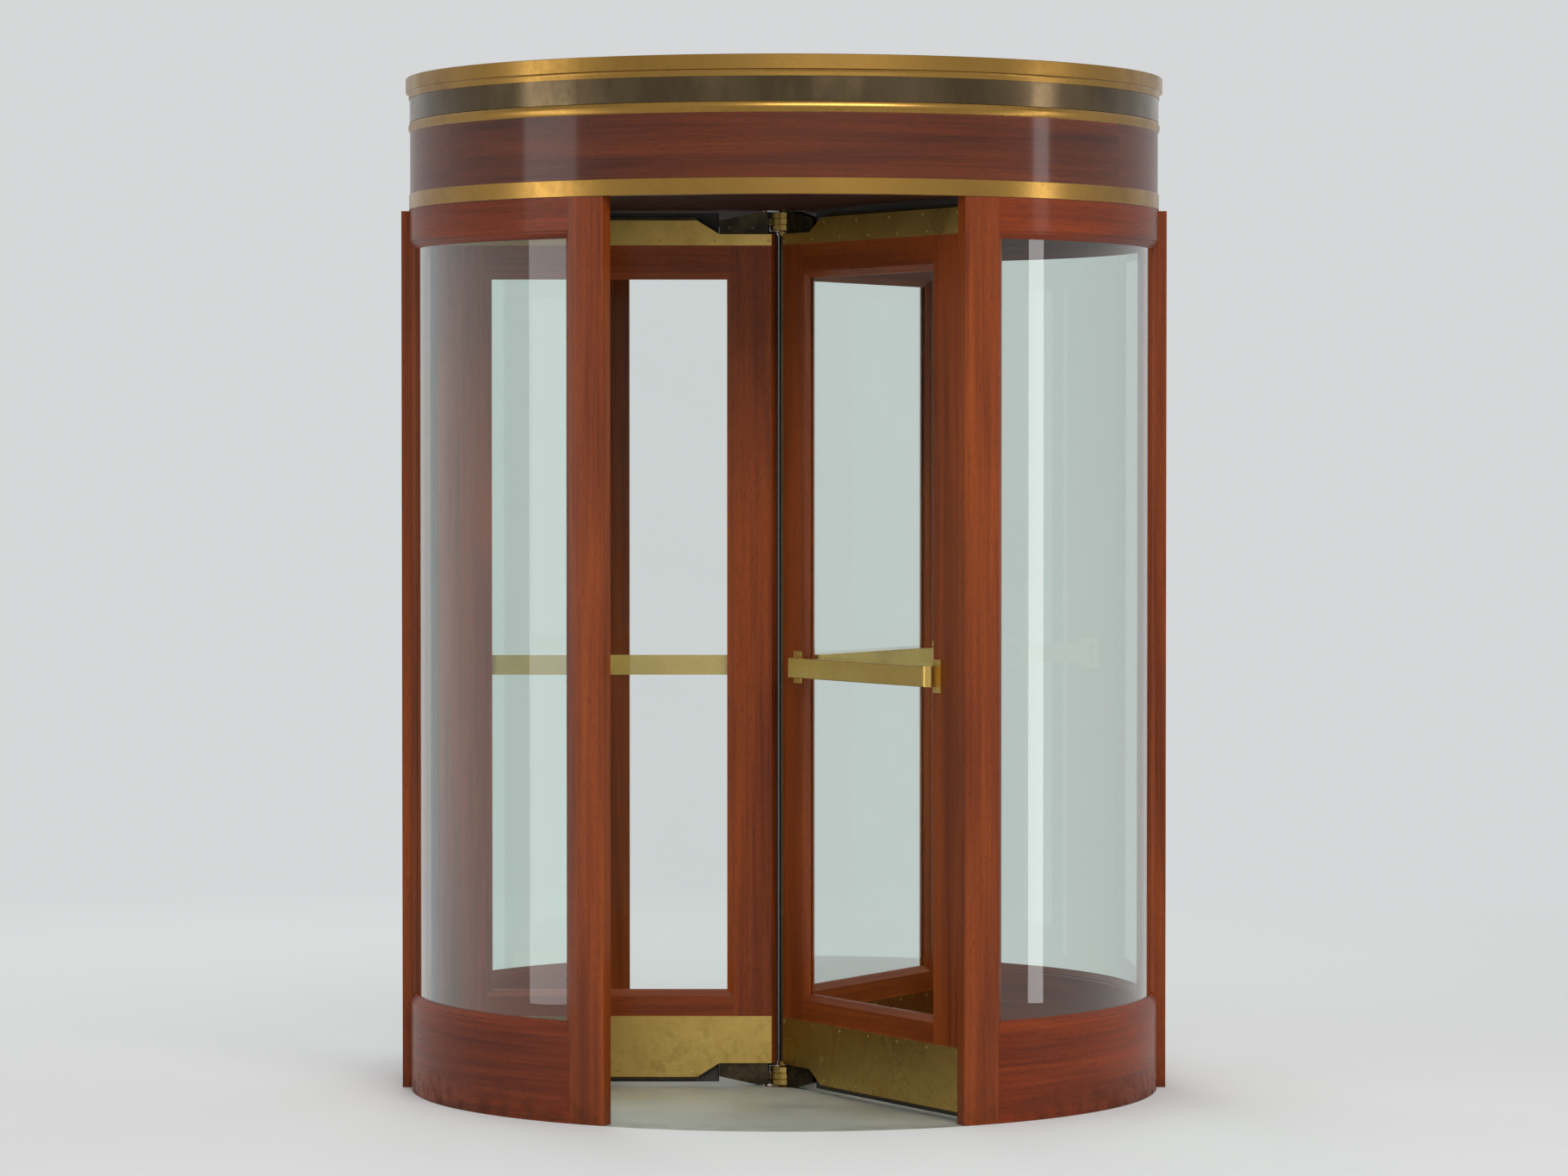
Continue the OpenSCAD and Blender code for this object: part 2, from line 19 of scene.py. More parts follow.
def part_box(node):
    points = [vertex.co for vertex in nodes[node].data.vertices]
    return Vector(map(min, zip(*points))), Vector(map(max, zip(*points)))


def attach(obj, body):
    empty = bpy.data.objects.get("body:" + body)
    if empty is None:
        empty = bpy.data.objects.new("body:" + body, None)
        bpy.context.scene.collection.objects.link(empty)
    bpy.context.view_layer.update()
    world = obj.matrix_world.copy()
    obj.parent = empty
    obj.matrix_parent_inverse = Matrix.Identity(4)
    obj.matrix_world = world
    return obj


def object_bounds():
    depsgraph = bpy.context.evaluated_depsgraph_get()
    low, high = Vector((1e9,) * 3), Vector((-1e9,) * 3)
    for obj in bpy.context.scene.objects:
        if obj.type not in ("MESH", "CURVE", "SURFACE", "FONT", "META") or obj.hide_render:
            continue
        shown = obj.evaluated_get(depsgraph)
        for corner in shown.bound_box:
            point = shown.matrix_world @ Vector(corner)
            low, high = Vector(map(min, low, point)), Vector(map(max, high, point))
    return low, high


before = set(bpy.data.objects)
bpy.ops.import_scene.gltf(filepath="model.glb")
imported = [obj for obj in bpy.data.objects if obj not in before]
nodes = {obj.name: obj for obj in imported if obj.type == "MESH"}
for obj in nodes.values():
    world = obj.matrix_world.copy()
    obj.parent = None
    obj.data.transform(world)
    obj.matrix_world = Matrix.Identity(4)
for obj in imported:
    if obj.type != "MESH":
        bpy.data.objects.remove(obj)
cad_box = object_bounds()

# %% [markdown]
# ## Writing shader maths as Python
# A wood grain is a formula of the place on the board. Wiring such a formula by
# hand takes a dozen Math nodes, so a small class stands for one wire in the
# node tree and turns + - * / into those nodes. The reflected forms, such as
# __rsub__, are what makes 1 - mask work as well as mask - 1.

# %% A wire that does sums


class Wire:
    """One output socket, which Python's operators turn into Math nodes."""

    def __init__(self, finish, socket):
        self.finish = finish
        self.socket = socket

    def __add__(self, other):
        return self.finish.math("ADD", self, other)

    def __radd__(self, other):
        return self.finish.math("ADD", other, self)

    def __sub__(self, other):
        return self.finish.math("SUBTRACT", self, other)

    def __rsub__(self, other):
        return self.finish.math("SUBTRACT", other, self)

    def __mul__(self, other):
        return self.finish.math("MULTIPLY", self, other)

    def __rmul__(self, other):
        return self.finish.math("MULTIPLY", other, self)

    def __truediv__(self, other):
        return self.finish.math("DIVIDE", self, other)

    def __pow__(self, other):
        return self.finish.math("POWER", self, other)

    def __abs__(self):
        return self.finish.math("ABSOLUTE", self)


# %% [markdown]
# ## One method for every other node
# A noise, a ramp or a shader is a node with settings, such as a ramp's stops,
# and with sockets that take a value or a wire. One method, add, makes any of
# them, and the short methods below it only give names to the ones that come
# back often. A material and the studio's world are both node trees, so the same
# class serves both.

# %% A finish that adds nodes


class Finish:
    """The node tree of a material, or of the world, with one method that adds any node."""

    def __init__(self, name, owner=None):
        self.owner = owner or bpy.data.materials.new(name)
        self.owner.use_nodes = True
        self.tree = self.owner.node_tree
        self.tree.nodes.clear()

    def add(self, kind, settings=None, values=None, output=0):
        node = self.tree.nodes.new("ShaderNode" + kind)
        for key, value in (settings or {}).items():
            if key == "stops":
                self.set_stops(node.color_ramp, value)
            else:
                setattr(node, key, value)
        for key, value in (values or {}).items():
            if isinstance(value, Wire):
                self.tree.links.new(value.socket, node.inputs[key])
            else:
                node.inputs[key].default_value = value
        outputs = node.outputs
        return Wire(self, outputs[output]) if len(outputs) else node

    def set_stops(self, ramp, stops):
        while len(ramp.elements) < len(stops):
            ramp.elements.new(1.0)
        for element, (position, colour) in zip(ramp.elements, stops):
            element.position = position
            element.color = colour

    def math(self, operation, first, second=0.0):
        return self.add("Math", {"operation": operation}, {0: first, 1: second})

    def mix(self, factor, first, second):
        """Mixes two colours, whose sockets come after those for numbers and vectors."""
        return self.add("Mix", {"data_type": "RGBA"}, {0: factor, 6: first, 7: second}, output=2)

    def ramp(self, factor, *stops):
        return self.add("ValToRGB", {"stops": stops}, {0: factor})

    def noise(self, where, scale=1.0, detail=2.0, roughness=0.5, distortion=0.0):
        values = {"Vector": where, "Scale": scale, "Detail": detail,
                  "Roughness": roughness, "Distortion": distortion}
        return self.add("TexNoise", None, values)

    def place(self):
        return self.add("TexCoord", None, None, "Object")

    def coordinates(self):
        """The x, y and z of a place, as three wires."""
        node = self.add("SeparateXYZ", None, {0: self.place()}).socket.node
        return [Wire(self, output) for output in node.outputs]

    def from_axis(self):
        """The distance from the Z axis, round which the whole door is built."""
        x, y = self.coordinates()[:2]
        return (x * x + y * y) ** 0.5

    def join(self, x, y, z):
        return self.add("CombineXYZ", None, {0: x, 1: y, 2: z})

    def steps(self, value, low, high, at_low=0.0, at_high=1.0):
        """Rises or falls evenly from at_low to at_high while value goes from low to high."""
        values = {"Value": value, "From Min": low, "From Max": high,
                  "To Min": at_low, "To Max": at_high}
        return self.add("MapRange", {"clamp": True}, values)

    def seam(self, value, where, width):
        """1 on a thin line where value equals where, and 0 beside it."""
        return self.steps(abs(value - where), width * 0.4, width, 1.0, 0.0)

    def bump(self, height, distance):
        return self.add("Bump", None, {"Height": height, "Distance": distance, "Strength": 1.0})

    def show(self, shader, kind="Material"):
        """Joins a shader to the output, and returns the material or the world."""
        self.add("Output" + kind, None, {0: shader})
        return self.owner


# %% [markdown]
# ## Given colours
# A colour on a screen is written from 0 to 255, with finer steps for the dark
# tones, where the eye sees more of them. A shader reckons with light itself, so
# each number is bent back first.

# %% Colours for shaders


def srgb(red, green, blue):
    """A colour given from 0 to 255, as the linear values shaders use."""
    def linear(value):
        value /= 255
        return value / 12.92 if value <= 0.04045 else ((value + 0.055) / 1.055) ** 2.4
    return (linear(red), linear(green), linear(blue), 1.0)


def toned(colour, share):
    """The same colour with a share of its light: under 1 it is darker, over 1 lighter."""
    return tuple(share * part for part in colour[:3]) + (1.0,)


print("the grey in the middle of a screen's range gives back",
      round(srgb(128, 128, 128)[0], 2), "of the light")

# %% [markdown]
# ## The wing's measures
# Wing 2 lies along -X, so the box of its solids reads as the wing's own sizes:
# how far it reaches, how thick it is, where its edges and its rails are. The
# floor's box gives the radius of the drum and the height of the stone.

# %% Measure wing 2 and the floor
wing_low, wing_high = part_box("wing_2_stiles")
wing_face = wing_high.y
wing_foot = wing_low.z
wing_top = wing_high.z
wing_reach = -wing_low.x
wing_start = -wing_high.x
rail_low, rail_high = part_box("wing_2_rails")
rail_start = -rail_high.x
rail_end = -rail_low.x
floor_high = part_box("floor_disc")[1]
floor_top = floor_high.z
drum_radius = floor_high.x
wing_heading = {1: math.radians(60), 2: math.radians(180), 3: math.radians(300)}
print("wing:", round(wing_reach, 4), "m long,", round(2 * wing_face * 1000, 1), "mm thick")

# %% [markdown]
# ## Mahogany
# Mahogany is red-brown with broad ribbons of lighter and darker wood, long thin
# streaks, and open pores like short dark scratches, all drawn out along the
# board. Noise stretched a long way in one direction gives each of them. The
# stretch has to follow the board: upright on posts and stiles, round the drum
# on curved rails and the fascia, and outwards along a wing's own rails. So the
# place on the board is first turned into three distances: along the grain and
# two across it. The varnish on top is a clear coat.

# %% The grain of a board


def board_distances(finish, grain, heading=0.0):
    """How far a point lies along the grain and across it, in metres."""
    x, y, z = finish.coordinates()
    if grain == "upright":
        return z, x, y
    if grain == "round":
        turn = finish.math("ARCTAN2", x, 0.0 - y)
        return turn * drum_radius, z, finish.from_axis()
    cosine = math.cos(heading)
    sine = math.sin(heading)
    return x * cosine + y * sine, z, y * cosine - x * sine


# %% [markdown]
# ## Where boards meet, and where shoes scuff them
# A ring can't be cut from one board. The fascia is three curved panels that meet
# at the back and well to each side of the front, so the turn round the axis is
# cut into thirds: each third gets its own piece of the noise, and a hairline
# where it meets the next. The turn is counted from the front, which puts the
# jump from half a turn left to half a turn right at the back, on a joint.
#
# Wood that stands on the floor is dulled and darkened at its foot by shoes and
# wet mops, unevenly, and the coat of varnish is worn thin there.

# %% Panels of a ring, and scuffs
hairline_width = 0.0009
fascia_panels = 3
panel_shift_along = 3.1
panel_shift_across = 7.3


def ring_panels(finish, along, panels):
    """The number of the panel that a point lies on, and a hairline where two panels meet."""
    panel_length = 2 * math.pi * drum_radius / panels
    count = along / panel_length + 0.5
    number = finish.math("FLOOR", count)
    return number, finish.seam((count - number) * panel_length, 0.0, hairline_width)


def scuffs(finish):
    """Uneven wear, at its strongest just above the floor."""
    up = finish.coordinates()[2]
    grime = finish.noise(finish.place(), scale=22.0, detail=4.0, roughness=0.6)
    low = finish.steps(up, floor_top + 0.012, floor_top + 0.10, 1.0, 0.0)
    return low * finish.steps(grime, 0.42, 0.66)


print("a panel of the fascia is", round(2 * math.pi * drum_radius / fascia_panels, 2), "m long")

# %% Varnished boards


def mahogany(name, grain, light, deep, heading=0.0, varnish=0.22, rough=0.34,
             joints=(), panels=0):
    """Varnished wood between a light and a deep brown, with its grain one way."""
    finish = Finish(name)
    along, across, depth = board_distances(finish, grain, heading)
    hairlines = [finish.seam(along, joint, hairline_width) for joint in joints]
    if panels:
        number, hairline = ring_panels(finish, along, panels)
        hairlines.append(hairline)
        along = along + number * panel_shift_along
        across = across + number * panel_shift_across

    def stretched(width, length):
        return finish.join(across / width, depth / width, along / length)

    ribbon = finish.noise(stretched(0.060, 1.1), detail=2.0, roughness=0.45, distortion=0.6)
    streak = finish.noise(stretched(0.011, 0.55), detail=4.0, roughness=0.6, distortion=0.3)
    fine = finish.noise(stretched(0.0032, 0.16), detail=3.0, roughness=0.6)
    pore = finish.noise(stretched(0.0012, 0.022), detail=1.0)
    patches = finish.noise(finish.place(), scale=1.5, detail=1.0)
    tone = ribbon * 0.42 + streak * 0.30 + fine * 0.13 + patches * 0.15
    pores = finish.steps(pore, 0.57, 0.70)
    scuffed = scuffs(finish)
    colour = finish.mix(finish.steps(tone, 0.35, 0.65), deep, light)
    colour = finish.mix(pores * 0.5, colour, toned(deep, 0.4))
    colour = finish.mix(scuffed * 0.55, colour, srgb(62, 42, 30))
    height = fine * 0.5 - pores * 0.5
    if hairlines:
        hairline = sum(hairlines)
        colour = finish.mix(hairline * 0.75, colour, toned(deep, 0.25))
        height = height - hairline * 2.0
    values = {
        "Base Color": colour,
        "Roughness": rough + 0.14 * streak + 0.10 * pores + 0.25 * scuffed,
        "Normal": finish.bump(height, 0.0002),
        "Coat Weight": varnish - varnish * scuffed,
        "Coat Roughness": 0.10,
        "Coat IOR": 1.5,
        "Specular IOR Level": 0.12,
    }
    return finish.show(finish.add("BsdfPrincipled", None, values))


lit_wood = srgb(154, 71, 20)
deep_wood = srgb(92, 34, 6)
upright_wood = mahogany("upright mahogany", "upright", lit_wood, deep_wood)
curved_wood = mahogany("curved mahogany", "round", srgb(144, 58, 13), srgb(84, 28, 4),
                       varnish=0.12)
fascia_wood = mahogany("fascia mahogany", "round", srgb(110, 47, 14), srgb(62, 22, 5),
                       varnish=0.4, panels=fascia_panels)
# The ceiling is the same mahogany drawn far darker, near black: painted shade of the soffit.
shaded_ceiling_wood = mahogany("ceiling mahogany in painted shade", "across", srgb(66, 30, 14), srgb(38, 15, 6),
                        varnish=0.0, rough=0.75)
wing_wood = {
    wing: mahogany(f"wing {wing} rail mahogany", "across", lit_wood, deep_wood, heading,
                   joints=(rail_start, rail_end))
    for wing, heading in wing_heading.items()
}
print("wood finishes:", 4 + len(wing_wood))

# %% [markdown]
# ## The roof cover
# Hardly anyone sees the roof cover. It is plain plywood in two half rounds,
# stained dark, with the grain of its face veneer in line and dust gathered in
# soft patches, most of all behind the rim of the cornice.

# %% Dusty plywood


def dusty_plywood(name):
    finish = Finish(name)
    x, y, z = finish.coordinates()
    grain = finish.noise(finish.join(x / 0.6, y / 0.012, z / 0.05),
                         detail=4.0, roughness=0.6, distortion=0.4)
    figure = finish.noise(finish.join(x / 1.2, y / 0.09, z / 0.2), distortion=1.2)
    rim = finish.steps(finish.from_axis(), drum_radius - 0.12, drum_radius)
    patches = finish.noise(finish.place(), scale=4.0, detail=5.0, roughness=0.6, distortion=0.4)
    dust = finish.steps(patches + rim * 0.25, 0.40, 0.80)
    colour = finish.mix(finish.steps(grain * 0.6 + figure * 0.4, 0.36, 0.64),
                        srgb(70, 42, 28), srgb(116, 76, 50))
    colour = finish.mix(dust * 0.55, colour, srgb(150, 142, 130))
    values = {
        "Base Color": colour,
        "Roughness": 0.62 + 0.3 * dust,
        "Normal": finish.bump(grain, 0.0003),
    }
    return finish.show(finish.add("BsdfPrincipled", None, values))


roof_plywood = dusty_plywood("dusty plywood")
print("roof finish:", roof_plywood.name)

# %% [markdown]
# ## Brass and bronze
# The kick plates, push bars and bands are lacquered satin brass. It was brushed
# along its length, so it has hair-thin lines one way and soft clouds where it
# has darkened. Shoes scratch the kick plates. The dark band of the fascia is
# polished bronze, and the lighter upright streaks on it are painted reflections.

# %% Marks on metal, and painted reflections


def brushed_lines(finish, grain, heading):
    """Hair-thin lines along the metal."""
    along, across, depth = board_distances(finish, grain, heading)
    hair = 0.0006
    return finish.noise(finish.join(across / hair, depth / hair, along / 0.12), roughness=0.6)


def painted_reflection_streaks(finish, grain, heading):
    """Lighter upright streaks along a band: painted reflections."""
    along, across, depth = board_distances(finish, grain, heading)
    reflection_noise = finish.noise(finish.join(along / 0.16, across / 0.5, 0.0), detail=3.0, roughness=0.6)
    return finish.steps(reflection_noise, 0.40, 0.62)


def shoe_marks(finish):
    """Slanting scratches, and grime, which both fade out up the height of a kick plate."""
    x, y, z = finish.coordinates()
    low = finish.steps(z, floor_top + 0.05, floor_top + 0.22, 1.0, 0.0)
    hair = 0.0012
    slant = finish.join((x + z * 0.6) / hair, (y + z * 0.6) / hair, (z - x * 0.4) / 0.07)
    scratch = finish.steps(finish.noise(slant, detail=1.0), 0.66, 0.72) * low
    dirt = finish.noise(finish.place(), scale=30.0, detail=5.0, roughness=0.65)
    return scratch, finish.steps(dirt, 0.50, 0.72) * low


# %% Satin metal


def satin_metal(name, grain, light, dull, polish, heading=0.0, scratched=False, with_painted_reflections=False):
    """Brushed metal between a light and a dull tone. A lower polish number shines more."""
    finish = Finish(name)
    lines = brushed_lines(finish, grain, heading)
    clouds = finish.noise(finish.place(), scale=5.0, detail=4.0, roughness=0.55, distortion=0.3)
    specks = finish.noise(finish.place(), scale=60.0, detail=3.0, roughness=0.6)
    tarnish = finish.steps(clouds * 0.75 + specks * 0.25, 0.42, 0.68)
    colour = finish.mix(tarnish * 0.5, light, dull)
    rough = polish + 0.10 * lines + 0.14 * tarnish
    height = lines
    # The lighter upright streaks mixed into the colour here are painted reflections.
    if with_painted_reflections:
        painted_reflection = painted_reflection_streaks(finish, grain, heading)
        colour = finish.mix(painted_reflection * 0.55, colour, toned(light, 1.7))
        rough = rough + 0.05 * painted_reflection
    if scratched:
        scratch, grime = shoe_marks(finish)
        colour = finish.mix(grime * 0.45, colour, toned(dull, 0.35))
        rough = rough + 0.22 * grime + 0.15 * scratch
        height = height - scratch * 2.0
    values = {
        "Base Color": colour,
        "Metallic": 1.0,
        "Roughness": rough,
        "Normal": finish.bump(height, 0.00004),
    }
    return finish.show(finish.add("BsdfPrincipled", None, values))


bright_brass = srgb(208, 175, 98)
dull_brass = srgb(164, 128, 62)
round_brass = satin_metal("fascia brass", "round", srgb(160, 123, 62), srgb(114, 84, 38), 0.20)
wing_brass = {
    wing: satin_metal(f"wing {wing} brass", "across", bright_brass, dull_brass, 0.22,
                      heading, scratched=True)
    for wing, heading in wing_heading.items()
}
oiled_bronze = satin_metal("oiled bronze", "upright", srgb(92, 80, 62), srgb(48, 40, 32), 0.30)
# The fascia's dark band carries painted reflections: lighter upright streaks.
mirror_bronze = satin_metal("fascia bronze", "round", srgb(88, 74, 54), srgb(60, 50, 36), 0.07,
                            with_painted_reflections=True)
print("metal finishes:", 3 + len(wing_brass))

# %% [markdown]
# ## The hangers
# The bronze of the spindle and the hanger arms is oiled nearly black, and the
# knuckles that ride on the spindle have worn back to bright brass. A hanger is
# one casting, so the distance from the axis tells which of the two shows.

# %% Dark arms with bright knuckles
knuckle_radius = 0.039


def hanger_metal(name):
    finish = Finish(name)
    knuckle = finish.steps(finish.from_axis(), knuckle_radius + 0.0002, knuckle_radius + 0.0008,
                           1.0, 0.0)
    clouds = finish.noise(finish.place(), scale=18.0, detail=4.0, roughness=0.6)
    wear = finish.steps(clouds, 0.40, 0.65)
    bright = finish.mix(wear * 0.6, srgb(206, 176, 104), srgb(150, 118, 60))
    dark = finish.mix(wear, srgb(52, 46, 38), srgb(86, 74, 56))
    values = {
        "Base Color": finish.mix(knuckle, dark, bright),
        "Metallic": 1.0,
        "Roughness": 0.36 - 0.12 * knuckle + 0.10 * wear,
        "Normal": finish.bump(clouds, 0.00006),
    }
    return finish.show(finish.add("BsdfPrincipled", None, values))


knuckle_metal = hanger_metal("hanger bronze and brass")
print("bright within", round(knuckle_radius * 1000), "mm of the axis:", knuckle_metal.name)

# %% [markdown]
# ## Glass
# The panes are solid, 10 and 12 mm thick, so the shader is real glass that
# bends light. Glass would also stop the lamps' light like a wall, because a
# renderer can't aim through a bend. A mix with a plain transparent shader, used
# only by shadow rays, lets the lamps shine through.

# %% Clear glass that lets the lamps through


def clear_glass(name, tint):
    finish = Finish(name)
    smears = finish.noise(finish.place(), scale=3.0, detail=3.0, distortion=0.8)
    values = {
        "Base Color": finish.mix(smears * 0.5, tint, toned(tint, 0.94)),
        "Roughness": 0.0,
        "IOR": 1.5,
        "Transmission Weight": 1.0,
    }
    glass = finish.add("BsdfPrincipled", None, values)
    through = finish.add("BsdfTransparent", None, {"Color": tint})
    shadow = finish.add("LightPath", None, None, "Is Shadow Ray")
    return finish.show(finish.add("MixShader", None, {0: shadow, 1: glass, 2: through}))


curved_glass = clear_glass("curved glass", (0.86, 0.93, 0.90, 1.0))
flat_glass = clear_glass("wing glass", (0.90, 0.95, 0.93, 1.0))
print("glass finishes:", curved_glass.name, "and", flat_glass.name)

# %% [markdown]
# ## Stone and rubber
# The round floor is one disc of honed grey granite: soft clouds, a fine salt and
# pepper of grains, a little more shine in the ring that feet have polished, and
# dirt along the wall, where no foot treads. The rubber of the seals has picked
# up dust, most of all near the floor.

# %% Honed stone and black rubber


def honed_stone(name):
    finish = Finish(name)
    place = finish.place()
    radius = finish.from_axis()
    middle_of_path = 0.55
    path = finish.steps(abs(radius - middle_of_path), 0.10, 0.38, 1.0, 0.0)
    clouds = finish.noise(place, scale=3.0, detail=4.0, roughness=0.55, distortion=0.4)
    grains = finish.noise(place, scale=260.0, roughness=0.7)
    flecks = finish.noise(place, scale=520.0, detail=1.0)
    stains = finish.noise(place, scale=9.0, detail=4.0, roughness=0.6)
    dirt = finish.steps(radius, 0.90, 0.99) * finish.steps(stains, 0.4, 0.7)
    colour = finish.ramp(
        finish.steps(clouds, 0.3, 0.7),
        (0.0, srgb(142, 145, 136)), (1.0, srgb(176, 178, 167)),
    )
    colour = finish.mix(finish.steps(grains, 0.55, 0.72) * 0.5, colour, srgb(104, 106, 100))
    colour = finish.mix(finish.steps(flecks, 0.62, 0.70) * 0.6, colour, srgb(208, 208, 200))
    colour = finish.mix(dirt * 0.4, colour, srgb(96, 90, 80))
    values = {
        "Base Color": colour,
        "Roughness": 0.46 + 0.22 * clouds - 0.14 * path + 0.1 * dirt,
        "Normal": finish.bump(grains, 0.0002),
    }
    return finish.show(finish.add("BsdfPrincipled", None, values))


def dark_rubber(name):
    finish = Finish(name)
    up = finish.coordinates()[2]
    dust = finish.noise(finish.place(), scale=40.0, detail=4.0, roughness=0.6)
    low = finish.steps(up, floor_top + 0.01, floor_top + 0.15, 0.5, 0.0)
    values = {
        "Base Color": finish.mix(dust * 0.7 + low, srgb(22, 21, 20), srgb(58, 54, 48)),
        "Roughness": 0.55 + 0.3 * dust,
        "Normal": finish.bump(dust, 0.0001),
    }
    return finish.show(finish.add("BsdfPrincipled", None, values))


floor_stone = honed_stone("honed stone")
sweep_rubber = dark_rubber("sweep rubber")
print("stone and rubber:", floor_stone.name, "and", sweep_rubber.name)

# %% [markdown]
# ## Giving each solid its finish
# Posts, jambs and stiles are cut with the grain upright. Rails that are part of
# the round wall have grain that runs round it.

# %% Assign the finishes
finishes = {
    "floor_disc": floor_stone, "floor_bearing": round_brass, "ceiling": shaded_ceiling_wood,
    "ceiling_bearing": oiled_bronze, "fascia_ring": fascia_wood, "brass_bands": round_brass,
    "dark_band": mirror_bronze, "cornice": round_brass, "roof_cover": roof_plywood,
    "spindle": oiled_bronze,
}
for side in ("left", "right"):
    finishes[f"{side}_base_rails"] = curved_wood
    finishes[f"{side}_head_rails"] = curved_wood
    finishes[f"{side}_jamb"] = upright_wood
    for half in ("front", "back"):
        finishes[f"{side}_{half}_glass"] = curved_glass
        finishes[f"{side}_{half}_post"] = upright_wood
for wing in wing_heading:
    finishes[f"wing_{wing}_stiles"] = upright_wood
    finishes[f"wing_{wing}_rails"] = wing_wood[wing]
    finishes[f"wing_{wing}_glass"] = flat_glass
    finishes[f"wing_{wing}_brass"] = wing_brass[wing]
    finishes[f"wing_{wing}_push_bar"] = wing_brass[wing]
    finishes[f"wing_{wing}_hangers"] = knuckle_metal
    finishes[f"wing_{wing}_sweeps"] = sweep_rubber
for node, finish in finishes.items():
    mesh = nodes[node].data
    mesh.materials.clear()
    mesh.materials.append(finish)
print("solids without a finish:", sorted(set(nodes) - set(finishes)))

# %% [markdown]
# ## Screws, set by Geometry Nodes
# The brass plates, the feet of the push bars, the hangers, the bearings and the
# roof cover are all held by slotted screws in even rows. A row is one edge of a
# mesh, and each of its points carries the way that the screws face. Geometry
# Nodes turn the edges into curves, divide them evenly and set a head on every
# point, turned a little at random as a screwdriver leaves it. A wider or longer
# row needs no new model, only another edge. Placing copies by hand would do for
# ten screws, but here are more than two hundred.
#
# The head itself is turned to a low dome, and then a saw cuts the slot: two
# half domes stand on a thin disc. It is modelled one metre across, so that the
# head's width is also its scale.

# %% The head of a slotted screw
head_sides = 12
slot_width = 0.14
disc_radius = 0.49
disc_height = 0.08


def half_dome(side):
    """What the saw leaves on one side of the slot."""
    dome = bmesh.new()
    profile = [(0.5, 0.0), (0.5, 0.07), (0.36, 0.17)]
    loops = []
    for radius, height in profile:
        loops.append([
            dome.verts.new((radius * math.cos(2 * math.pi * step / head_sides),
                            radius * math.sin(2 * math.pi * step / head_sides), height))
            for step in range(head_sides)
        ])
    for lower, upper in zip(loops, loops[1:]):
        for step in range(head_sides):
            after = (step + 1) % head_sides
            dome.faces.new((lower[step], lower[after], upper[after], upper[step]))
    dome.faces.new(loops[-1])
    dome.faces.new(list(reversed(loops[0])))
    everything = dome.verts[:] + dome.edges[:] + dome.faces[:]
    cut = bmesh.ops.bisect_plane(dome, geom=everything, plane_co=(0, side * slot_width / 2, 0),
                                 plane_no=(0, -side, 0), clear_outer=True)
    edges = [part for part in cut["geom_cut"] if isinstance(part, bmesh.types.BMEdge)]
    bmesh.ops.contextual_create(dome, geom=edges)
    return dome


def screw_head():
    mesh = bpy.data.meshes.new("screw head")
    whole = bmesh.new()
    for side in (-1, 1):
        half = half_dome(side)
        half.to_mesh(mesh)
        half.free()
        whole.from_mesh(mesh)
    bmesh.ops.create_cone(whole, cap_ends=True, segments=head_sides, depth=disc_height,
                          radius1=disc_radius, radius2=disc_radius,
                          matrix=Matrix.Translation((0, 0, disc_height / 2)))
    bmesh.ops.recalc_face_normals(whole, faces=whole.faces)
    whole.to_mesh(mesh)
    whole.free()
    head = bpy.data.objects.new("screw_head", mesh)
    bpy.context.scene.collection.objects.link(head)
    return head


head_object = screw_head()
print("faces on a screw head:", len(head_object.data.polygons))

# %% [markdown]
# ## The tree that sets the heads
# Its inputs are the spacing, the width and model of the head, the seed and the
# finish. It ends in Realize Instances, because instances are only marks that
# say where a copy goes, and a part that others use has to hold real faces.

# %% Screws in rows
twist_limit = 0.6


def new_tree(name, inputs):
    tree = bpy.data.node_groups.new(name, "GeometryNodeTree")
    tree.interface.new_socket("Geometry", in_out="INPUT", socket_type="NodeSocketGeometry")
    for title, kind in inputs:
        tree.interface.new_socket(title, in_out="INPUT", socket_type="NodeSocket" + kind)
    tree.interface.new_socket("Geometry", in_out="OUTPUT", socket_type="NodeSocketGeometry")
    return tree


def put(tree, kind, settings=None, **sockets):
    """Adds a node. Each keyword names a socket, with _ for a space, and gives its value or link."""
    node = tree.nodes.new(kind)
    for key, value in (settings or {}).items():
        setattr(node, key, value)
    for key, value in sockets.items():
        socket = node.inputs[key.replace("_", " ")]
        if isinstance(value, bpy.types.NodeSocket):
            tree.links.new(value, socket)
        else:
            socket.default_value = value
    return node


def random_twist(tree, seed):
    """A random angle. A Random Value node has one pair of limits for each kind of value."""
    node = put(tree, "FunctionNodeRandomValue", {"data_type": "FLOAT"}, Seed=seed)
    node.inputs[2].default_value = -twist_limit
    node.inputs[3].default_value = twist_limit
    return node.outputs[1]


